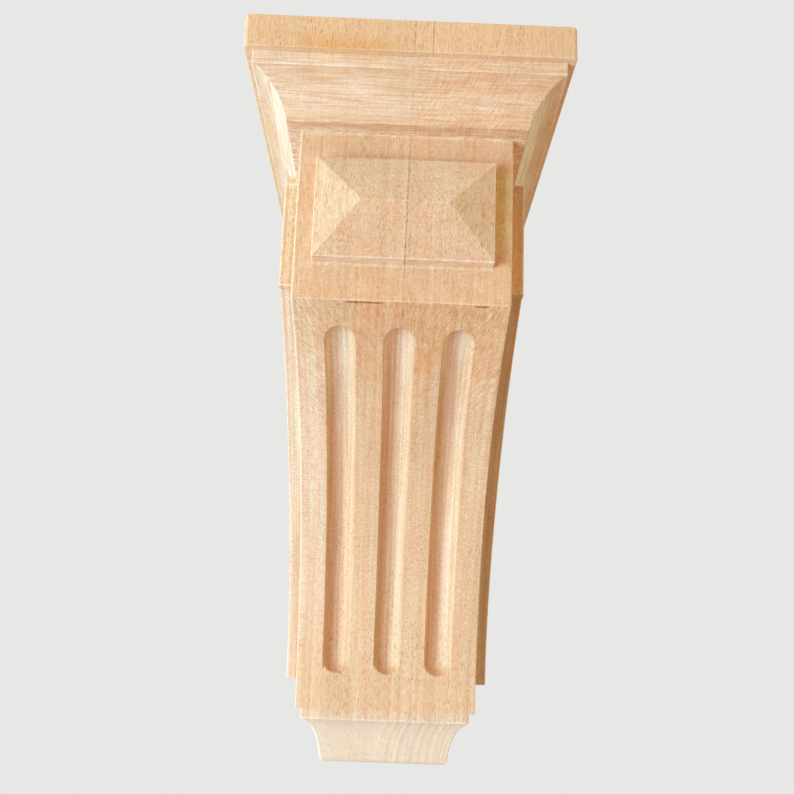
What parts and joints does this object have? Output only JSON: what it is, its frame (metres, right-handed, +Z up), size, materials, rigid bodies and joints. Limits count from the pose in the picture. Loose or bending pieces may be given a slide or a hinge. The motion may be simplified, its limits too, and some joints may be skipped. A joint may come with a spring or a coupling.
{
  "type": "mission style corbel",
  "caption": "Mission style wooden corbel: moulded cap and crown, head block with a raised hipped panel, fluted swept front, stepped cheeks behind and a coved foot.",
  "frame": {"origin": "middle of the flat back face, on the wall plane", "axes": "+Z up, +Y into the wall, -Y out to the front, +X to the right as seen from the front"},
  "size_m": [0.1524, 0.254, 0.3436],
  "materials": {
    "beech": "bare sanded beech, unfinished, with upright grain, short dark pore flecks and a glue line near the middle"
  },
  "bodies": {
    "root": {"corbel": "beech"}
  },
  "joints": []
}
